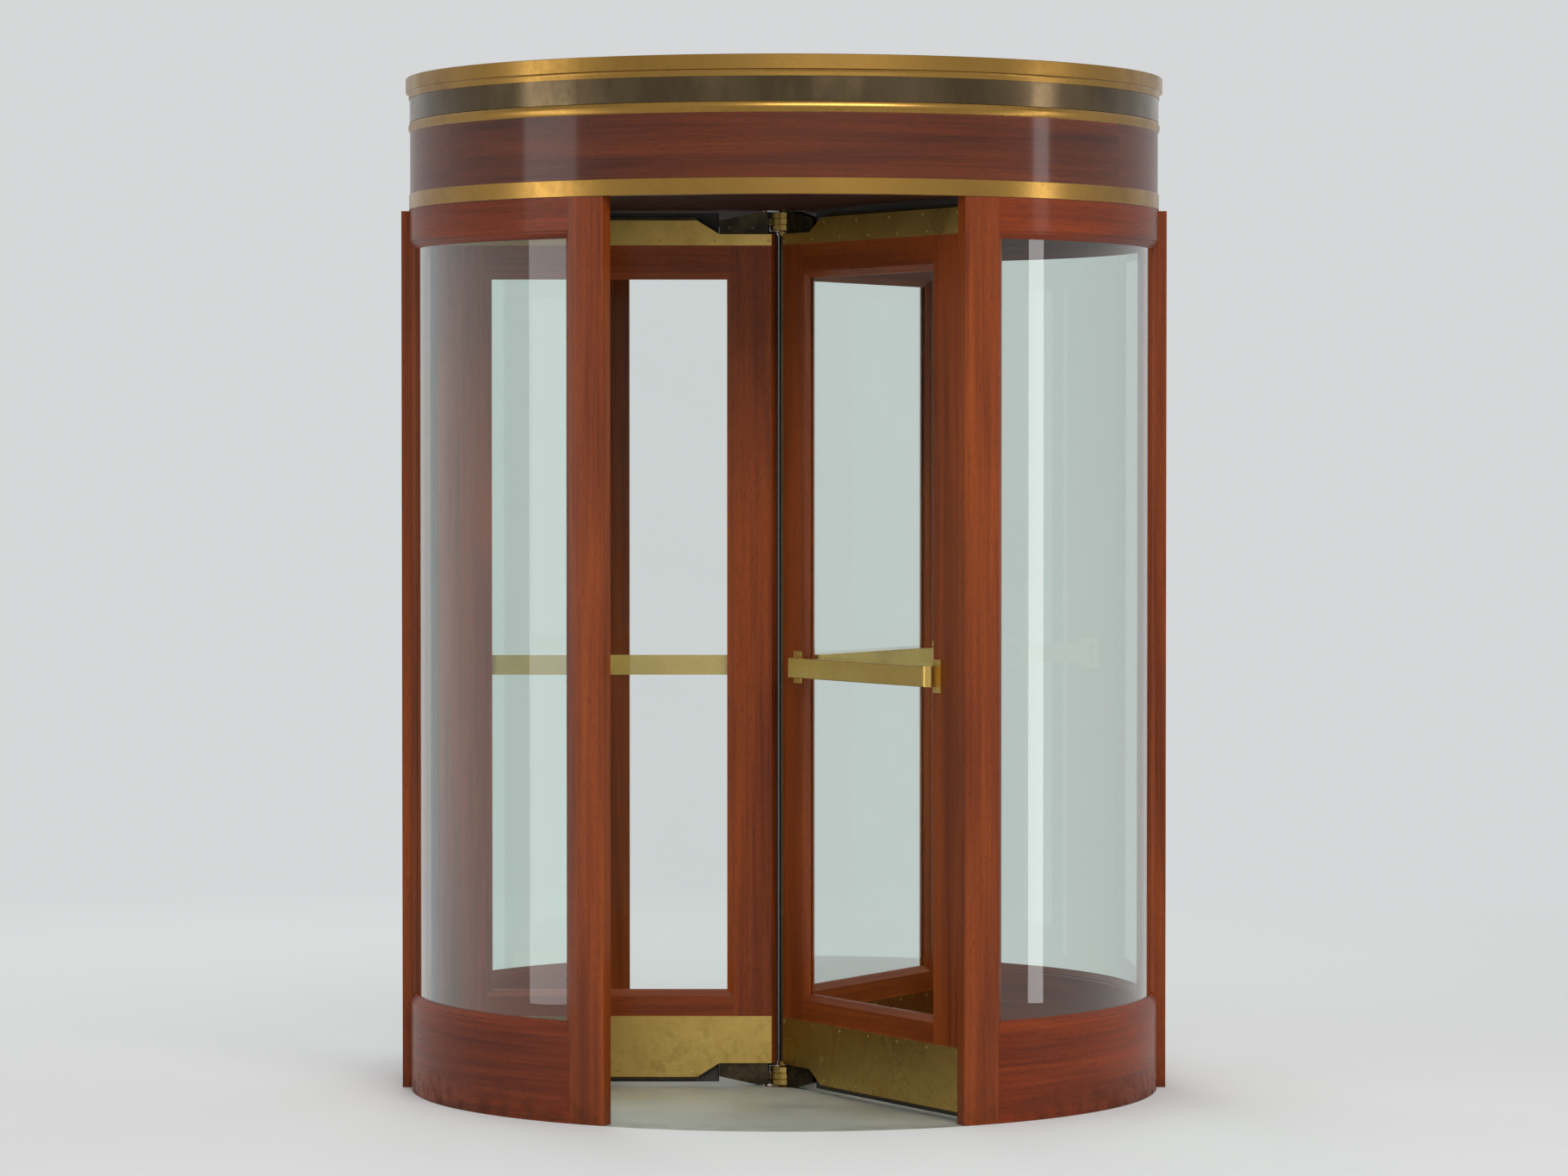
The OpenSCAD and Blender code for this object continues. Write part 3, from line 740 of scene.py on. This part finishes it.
def screw_tree():
    tree = new_tree("screws in rows", [
        ("Spacing", "Float"), ("Head Width", "Float"), ("Head", "Object"),
        ("Seed", "Int"), ("Finish", "Material"),
    ])
    given = tree.nodes.new("NodeGroupInput").outputs
    rows = put(tree, "GeometryNodeMeshToCurve", Mesh=given["Geometry"])
    points = put(tree, "GeometryNodeResampleCurve", {"mode": "LENGTH"},
                 Curve=rows.outputs["Curve"], Length=given["Spacing"])
    facing = put(tree, "GeometryNodeInputNamedAttribute", {"data_type": "FLOAT_VECTOR"},
                 Name="facing")
    upright = put(tree, "FunctionNodeAlignRotationToVector", {"axis": "Z"},
                  Vector=facing.outputs["Attribute"])
    twist = put(tree, "FunctionNodeAxisAngleToRotation",
                Axis=(0.0, 0.0, 1.0), Angle=random_twist(tree, given["Seed"]))
    turned = put(tree, "FunctionNodeRotateRotation", {"rotation_space": "LOCAL"},
                 Rotation=upright.outputs[0], Rotate_By=twist.outputs[0])
    head = put(tree, "GeometryNodeObjectInfo", Object=given["Head"])
    heads = put(tree, "GeometryNodeInstanceOnPoints",
                Points=points.outputs["Curve"], Instance=head.outputs["Geometry"],
                Rotation=turned.outputs[0], Scale=given["Head Width"])
    solid = put(tree, "GeometryNodeRealizeInstances", Geometry=heads.outputs[0])
    dressed = put(tree, "GeometryNodeSetMaterial",
                  Geometry=solid.outputs[0], Material=given["Finish"])
    result = tree.nodes.new("NodeGroupOutput")
    tree.links.new(dressed.outputs[0], result.inputs[0])
    return tree


screws_in_rows = screw_tree()
print("nodes in the screw tree:", len(screws_in_rows.nodes))

# %% [markdown]
# ## From rows to a mesh
# A row is written down as a list of points and the way it faces. The tree's
# inputs are set on the modifier by each socket's identifier, the modifier is
# read once, and what stays is a plain mesh. All the small pieces of one kind on
# one body are then joined, so that a body that moves carries one object of them.

# %% Grow a tree on a mesh, and join meshes


def rows_mesh(name, rows, turn):
    mesh = bpy.data.meshes.new(name)
    points = []
    edges = []
    facings = []
    for path, facing in rows:
        first = len(points)
        points += [turn @ Vector(point) for point in path]
        facings += [turn.to_3x3() @ Vector(facing)] * len(path)
        edges += [(first + step, first + step + 1) for step in range(len(path) - 1)]
    mesh.from_pydata(points, edges, [])
    attribute = mesh.attributes.new("facing", "FLOAT_VECTOR", "POINT")
    for item, facing in zip(attribute.data, facings):
        item.vector = facing
    return mesh


def grown(name, tree, mesh, **inputs):
    """Runs a tree on a mesh, and returns the result as a plain mesh."""
    start = bpy.data.objects.new(name + " start", mesh)
    bpy.context.scene.collection.objects.link(start)
    modifier = start.modifiers.new("grow", "NODES")
    modifier.node_group = tree
    names = {item.name.replace(" ", "_"): item.identifier for item in tree.interface.items_tree
             if item.item_type == "SOCKET" and item.in_out == "INPUT"}
    for key, value in inputs.items():
        modifier[names[key]] = value
    depsgraph = bpy.context.evaluated_depsgraph_get()
    result = bpy.data.meshes.new_from_object(start.evaluated_get(depsgraph))
    bpy.data.objects.remove(start)
    return result


def screws(name, rows, turn, finish, seed, spacing, width):
    return grown(name + " screws", screws_in_rows, rows_mesh(name + " rows", rows, turn),
                 Spacing=spacing, Head_Width=width, Head=head_object, Seed=seed, Finish=finish)


def joined(name, meshes, body):
    """One object made of several meshes, which rides on a body."""
    whole = bmesh.new()
    materials = []
    for mesh in meshes:
        offset = len(materials)
        materials += list(mesh.materials)
        known = len(whole.faces)
        whole.from_mesh(mesh)
        whole.faces.ensure_lookup_table()
        for face in whole.faces[known:]:
            face.material_index += offset
    mesh = bpy.data.meshes.new(name)
    whole.to_mesh(mesh)
    whole.free()
    for material in materials:
        mesh.materials.append(material)
    piece = bpy.data.objects.new(name, mesh)
    bpy.context.scene.collection.objects.link(piece)
    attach(piece, body)
    print(name, "has", len(mesh.polygons), "faces and rides on", body)
    return piece


screw_brass = satin_metal("screw brass", "upright", srgb(200, 172, 104), srgb(150, 118, 60), 0.26)
print("finish of the screws:", screw_brass.name)

# %% [markdown]
# ## The screws of a wing
# The kick plates and cap plates have a row along each long edge, on both faces.
# Where the corner notch cuts into a plate the row begins after the slope. Each
# foot of the push bar has a screw above and below the bar, and each hanger arm
# has two on both sides. The heights of the plates and the places of the screws
# are the joiner's own numbers, counted from the wing's edges.

# %% Rows on a wing
plate_face = wing_face + 0.0015
kick_height = 0.169
cap_height = 0.069
row_inset = 0.012
notch_start = 0.180
notch_end = 0.2408
notch_height = 0.038
row_start = wing_start + 0.022
row_start_after_notch = notch_end + 0.016
row_end = wing_reach - 0.016
bar_low, bar_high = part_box("wing_2_push_bar")
foot_width = 0.040
foot_face = wing_face + 0.004
foot_row_half = 0.036
arm_face = 0.014
arm_row_height = 0.019
arm_row_start = 0.086
arm_row_end = 0.150


def plate_rows():
    rows = []
    for side in (-1, 1):
        for start, height in (
            (row_start_after_notch, wing_foot + row_inset),
            (row_start, wing_foot + kick_height - row_inset),
            (row_start, wing_top - cap_height + row_inset),
            (row_start_after_notch, wing_top - row_inset),
        ):
            path = ((start, side * plate_face, height), (row_end, side * plate_face, height))
            rows.append((path, (0, side, 0)))
    return rows


def foot_rows():
    """A screw above and below the bar, on both of its feet."""
    middle = (bar_low.z + bar_high.z) / 2
    rows = []
    for x in (-bar_high.x + foot_width / 2, -bar_low.x - foot_width / 2):
        path = ((x, -foot_face, middle - foot_row_half), (x, -foot_face, middle + foot_row_half))
        rows.append((path, (0, -1, 0)))
    return rows


def arm_rows():
    """Two screws on each side of each arm, at the foot and at the head."""
    rows = []
    for height in (wing_foot + arm_row_height, wing_top - arm_row_height):
        for side in (-1, 1):
            path = ((arm_row_start, side * arm_face, height), (arm_row_end, side * arm_face, height))
            rows.append((path, (0, side, 0)))
    return rows


print("rows of screws on a wing:", len(plate_rows()) + len(foot_rows()) + len(arm_rows()))

# %% [markdown]
# ## Seal holders and notch seals
# A rubber seal would flap if it were only pushed into the wood. It is held in a
# pair of thin bronze strips that run along the bottom, up the outer edge and
# along the top, mitred at the corners. Where the corner notch slopes away from
# the hanger's arm, a sheet of the same rubber keeps the draught out, and another
# closes the narrow room between the arm, the knuckles of the other wings and the
# collar on the spindle. Each is an outline in the plane of the wing with a
# thickness, so one helper turns any such outline into a board and eases its
# edges. Outlines at the foot and at the head of the wing are mirror images, so
# their heights are counted from the wing's edge.

# %% A board from an outline
eased_edge = 0.0005


def board(shape, outline, low, high):
    """Adds an outline in the plane of the wing, between two distances from it."""
    lower = [shape.verts.new((x, low, z)) for x, z in outline]
    upper = [shape.verts.new((x, high, z)) for x, z in outline]
    faces = [shape.faces.new(lower), shape.faces.new(list(reversed(upper)))]
    count = len(outline)
    for step in range(count):
        after = (step + 1) % count
        faces.append(shape.faces.new((lower[after], lower[step], upper[step], upper[after])))
    edges = list({edge for face in faces for edge in face.edges})
    bmesh.ops.bevel(shape, geom=edges, offset=eased_edge, segments=1, affect="EDGES")


def boards_mesh(name, outlines, layers, turn, material):
    shape = bmesh.new()
    for outline in outlines:
        for low, high in layers:
            board(shape, outline, low, high)
    bmesh.ops.recalc_face_normals(shape, faces=shape.faces)
    shape.transform(turn)
    mesh = bpy.data.meshes.new(name)
    shape.to_mesh(mesh)
    shape.free()
    mesh.materials.append(material)
    return mesh


# %% Mitred strips beside the seals
holder_reach = 0.009
holder_layers = [(0.0032, 0.0058), (-0.0058, -0.0032)]


def strip_outlines():
    start = notch_end + 0.002
    end = wing_reach + holder_reach
    low = wing_foot - holder_reach
    high = wing_top + holder_reach
    return [
        [(start, wing_foot), (start, low), (end, low), (wing_reach, wing_foot)],
        [(wing_reach, wing_foot), (end, low), (end, high), (wing_reach, wing_top)],
        [(wing_reach, wing_top), (end, high), (start, high), (start, wing_top)],
    ]


print("strips on each face of a wing:", len(strip_outlines()))

# %% Rubber in the notches
rubber_layers = [(-0.0015, 0.0015)]
knuckles_end = 0.0288
arm_start = 0.045
arm_drop = 0.023
collar_rim = 0.0185
collar_neck = 0.0160
centre_seal_start = 0.043


def upright_strip(start, end, low, high):
    return [(start, low), (end, low), (end, high), (start, high)]


def notch_outlines():
    """The rooms that an arm leaves in its notch: at the slope, and round the knuckles."""
    sweep_low, sweep_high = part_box("wing_2_sweeps")
    gap = 0.0004
    bite = 0.0002
    start = notch_start + gap
    end = notch_end - gap
    inner = knuckle_radius + gap
    under = notch_height + bite
    hub = [
        upright_strip(inner, arm_start + bite, -arm_drop, under),
        upright_strip(collar_rim + gap, inner, knuckles_end + gap, under),
        upright_strip(collar_neck + gap, wing_start + bite, under, centre_seal_start + bite),
    ]
    outlines = []
    for edge, up, sweep_edge in ((wing_foot, 1, sweep_low.z), (wing_top, -1, sweep_high.z)):
        slope_foot = edge + up * (notch_height - gap)
        outlines.append([(start, sweep_edge), (end, sweep_edge), (end, edge), (start, slope_foot)])
        outlines += [[(x, edge + up * z) for x, z in strip] for strip in hub]
    return outlines


print("pieces of rubber in a wing's notches:", len(notch_outlines()))

# %% Fit each wing out
for wing, heading in wing_heading.items():
    turn = Matrix.Rotation(heading, 4, "Z")
    body = f"wing_{wing}"
    plates = screws("plate", plate_rows(), turn, screw_brass, seed=wing,
                    spacing=0.145, width=0.0075)
    feet = screws("foot", foot_rows(), turn, screw_brass, seed=10 + wing,
                  spacing=2 * foot_row_half, width=0.0085)
    arms = screws("arm", arm_rows(), turn, oiled_bronze, seed=20 + wing,
                  spacing=arm_row_end - arm_row_start, width=0.011)
    joined(f"wing_{wing}_screws", [plates, feet, arms], body)
    strips = boards_mesh("seal holders", strip_outlines(), holder_layers, turn, oiled_bronze)
    joined(f"wing_{wing}_seal_holders", [strips], body)
    rubber = boards_mesh("notch seals", notch_outlines(), rubber_layers, turn, sweep_rubber)
    joined(f"wing_{wing}_notch_seals", [rubber], body)

# %% [markdown]
# ## Collars on the spindle
# Above the lower stack of knuckles, and below the upper one, a collar is pinned
# to the spindle so that the stack can't climb. It is turned on a lathe, so it is
# a profile spun round the axis: a flange next to the knuckles and a neck behind
# it, which leaves room for the wings' seals.

# %% Turn two collars
collar_end = 0.0365
collar_segments = 48


def turned_ring(shape, profile):
    """Spins a closed profile of radius and height pairs round the Z axis."""
    loops = []
    for step in range(collar_segments):
        angle = 2 * math.pi * step / collar_segments
        loops.append([
            shape.verts.new((radius * math.cos(angle), radius * math.sin(angle), height))
            for radius, height in profile
        ])
    count = len(profile)
    for step in range(collar_segments):
        here = loops[step]
        there = loops[(step + 1) % collar_segments]
        for side in range(count):
            after = (side + 1) % count
            shape.faces.new((here[side], there[side], there[after], here[after]))


def collar_profile(edge, up):
    """The flange and the neck, with heights counted from a wing's edge."""
    bore = 0.01405
    ease = 0.001
    start = knuckles_end + 0.0017
    end = centre_seal_start - 0.0005
    steps = [
        (bore, start), (collar_rim - ease, start), (collar_rim, start + ease),
        (collar_rim, collar_end - ease), (collar_rim - ease, collar_end),
        (collar_neck, collar_end), (collar_neck, end - ease), (collar_neck - ease, end),
        (bore, end),
    ]
    return [(radius, edge + up * height) for radius, height in steps]


collars = bmesh.new()
turned_ring(collars, collar_profile(wing_foot, 1))
turned_ring(collars, collar_profile(wing_top, -1))
bmesh.ops.recalc_face_normals(collars, faces=collars.faces)
collar_mesh = bpy.data.meshes.new("collars")
collars.to_mesh(collar_mesh)
collars.free()
collar_mesh.materials.append(screw_brass)
joined("spindle_collars", [collar_mesh], "rotor")

# %% [markdown]
# ## Screws on the drum
# Each bearing plate has four screws round the spindle. The roof cover has a ring
# of them a little in from its edge, in two half rounds as the cover is, and a
# straight row on each side of the joint between its halves.

# %% Roof screws and bearing screws
upwards = (0, 0, 1)
downwards = (0, 0, -1)
still = Matrix.Identity(4)
roof_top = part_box("roof_cover")[1].z
ceiling_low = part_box("ceiling")[0].z
roof_radius = drum_radius - 0.035
margin = 0.05
straight_row_half = 0.90
from_joint = 0.03
bearing_radius = 0.050


def arc_row(radius, start, end, height, facing, steps=48):
    angles = [start + (end - start) * step / steps for step in range(steps + 1)]
    path = [(radius * math.cos(angle), radius * math.sin(angle), height) for angle in angles]
    return path, facing


def roof_rows():
    rows = []
    for first in (0.0, math.pi):
        rows.append(arc_row(roof_radius, first + margin, first + math.pi - margin,
                            roof_top, upwards))
    for y in (from_joint, -from_joint):
        path = ((-straight_row_half, y, roof_top), (straight_row_half, y, roof_top))
        rows.append((path, upwards))
    return rows


bearing_rows = [
    arc_row(bearing_radius, 0.0, 1.5 * math.pi, floor_top, upwards),
    arc_row(bearing_radius, 0.0, 1.5 * math.pi, ceiling_low, downwards),
]
roof_screws = screws("roof", roof_rows(), still, oiled_bronze, seed=31,
                     spacing=0.24, width=0.010)
bearing_screws = screws("bearing", bearing_rows, still, screw_brass, seed=32,
                        spacing=0.078, width=0.009)
joined("drum_screws", [roof_screws, bearing_screws], "drum")
bpy.data.objects.remove(head_object)

# %% [markdown]
# ## The studio's floor
# The floor and the world have one pale colour, so that no horizon runs through
# the glass. Close to the door the floor is a plain matt surface that takes light
# and shadow. Further out it fades, for the eye only, to the very colour of the
# world: the Light Path node knows which rays are looked along, straight or
# through glass or in a reflection, and only those see the fade. The door's round
# stone is meant to be let into the ground until it is flush, so the studio floor
# lies a hair below the top of the stone.

# %% A pale floor that fades
pale = srgb(214, 215, 216)
studio_size = 60.0
fade_start = 2.2
fade_end = 7.0
hair = 0.0005


def looked_along(finish):
    """1 for rays that come from the camera, straight, mirrored or through glass."""
    straight = finish.add("LightPath", None, None, "Is Camera Ray")
    mirrored = finish.add("LightPath", None, None, "Is Glossy Ray")
    through = finish.add("LightPath", None, None, "Is Transmission Ray")
    return finish.math("MAXIMUM", finish.math("MAXIMUM", straight, mirrored), through)


def fading_floor(name):
    finish = Finish(name)
    far = finish.steps(finish.from_axis(), fade_start, fade_end)
    cloud = finish.noise(finish.place(), scale=0.8, detail=3.0)
    values = {
        "Base Color": finish.mix(cloud, srgb(229, 229, 228), srgb(233, 233, 232)),
        "Roughness": 1.0,
        "Specular IOR Level": 0.0,
    }
    lit = finish.add("BsdfPrincipled", None, values)
    faded = finish.add("Emission", None, {"Color": pale, "Strength": 1.0})
    fade = far * looked_along(finish)
    return finish.show(finish.add("MixShader", None, {0: fade, 1: lit, 2: faded}))


bpy.ops.mesh.primitive_plane_add(size=studio_size, location=(0, 0, floor_top - hair))
floor = bpy.context.object
floor.name = "studio_floor"
floor.data.materials.append(fading_floor("studio floor"))
print("the floor fades from", fade_start, "to", fade_end, "m")

# %% [markdown]
# ## Lamps and world
# A wide lamp high in front gives the wood its colour, and another behind lights
# the back of the door. Two upright strips of light stand at the sides, as they
# are set for pictures of polished metal: a round wall shows each as a bright
# stripe where it turns halfway towards it. They are seen only in what shines,
# so that they leave no pool of light on the floor. The world is a faint blue
# light from all sides, and looks pale wherever a ray from the camera meets it.

# %% Lamps
door_middle = (0, 0, 1.4)


def soft_lamp(name, location, target, width, height, watts, colour=(1, 1, 1)):
    data = bpy.data.lights.new(name, "AREA")
    data.shape = "RECTANGLE"
    data.size = width
    data.size_y = height
    data.energy = watts
    data.color = colour
    lamp = bpy.data.objects.new(name, data)
    lamp.location = location
    aim = Vector(target) - Vector(location)
    lamp.rotation_euler = aim.to_track_quat("-Z", "Y").to_euler()
    bpy.context.scene.collection.objects.link(lamp)
    return lamp


def mirrored_strip(name, turn, width, radiance):
    """A strip that stands on the floor, seen only in what shines.

    turn is how far round from the front it stands, seen from the place on the
    wall that mirrors it into the camera.
    """
    distance = 3.0
    height = 3.1
    half = turn / 2
    middle_height = floor_top + height / 2
    wall = Vector((drum_radius * math.sin(half), -drum_radius * math.cos(half), middle_height))
    place = wall + distance * Vector((math.sin(turn), -math.cos(turn), 0))
    watts = radiance * math.pi * width * height
    lamp = soft_lamp(name, place, wall, width, height, watts)
    lamp.visible_camera = False
    lamp.visible_diffuse = False
    lamp.visible_transmission = False


soft_lamp("front lamp", (2.2, -8.0, 6.5), door_middle, width=6.0, height=3.0, watts=440,
          colour=(1.0, 0.98, 0.95))
back_lamp = soft_lamp("back lamp", (-2.5, 7.5, 6.0), door_middle, width=5.0, height=3.0,
                      watts=260)
back_lamp.visible_glossy = False
mirrored_strip("left strip", turn=math.radians(-75), width=1.2, radiance=2.5)
mirrored_strip("right strip", turn=math.radians(84), width=0.37, radiance=4.5)
print("lamps:", len(bpy.data.lights))

# %% World
sky = Finish("studio world", bpy.data.worlds.new("studio world"))
glow = sky.add("Background", None, {"Color": (0.95, 0.97, 1.0, 1.0), "Strength": 0.55})
view = sky.add("Background", None, {"Color": pale, "Strength": 1.0})
world_shader = sky.add("MixShader", None, {0: looked_along(sky), 1: glow, 2: view})
bpy.context.scene.world = sky.show(world_shader, "World")
bpy.context.scene.view_settings.view_transform = "Standard"
print("nodes in the world:", len(sky.tree.nodes))

# %% [markdown]
# ## The camera
# The camera stands where the photograph was taken from: in front of the middle
# of the door, 15 m from its axis, with the lens 1.75 m above its floor. So the
# perspective is the same, and a longer lens fills the picture with the door.

# %% Camera
picture_width = 1821
picture_height = 1366
camera_distance = 15.0
eye_height = 1.754
door_height = cad_box[1][2] - cad_box[0][2]
share_of_picture = 0.86
sensor_width = 36.0
sensor_height = sensor_width * picture_height / picture_width
lens_data = bpy.data.cameras.new("camera")
lens_data.sensor_width = sensor_width
lens_data.lens = camera_distance * sensor_height * share_of_picture / door_height
camera = bpy.data.objects.new("camera", lens_data)
camera.location = (0.0, -camera_distance, floor_top + eye_height)
aim = Vector((0, 0, door_height / 2)) - camera.location
camera.rotation_euler = aim.to_track_quat("-Z", "Y").to_euler()
bpy.context.scene.collection.objects.link(camera)
bpy.context.scene.camera = camera
print("lens:", round(lens_data.lens, 1), "mm")
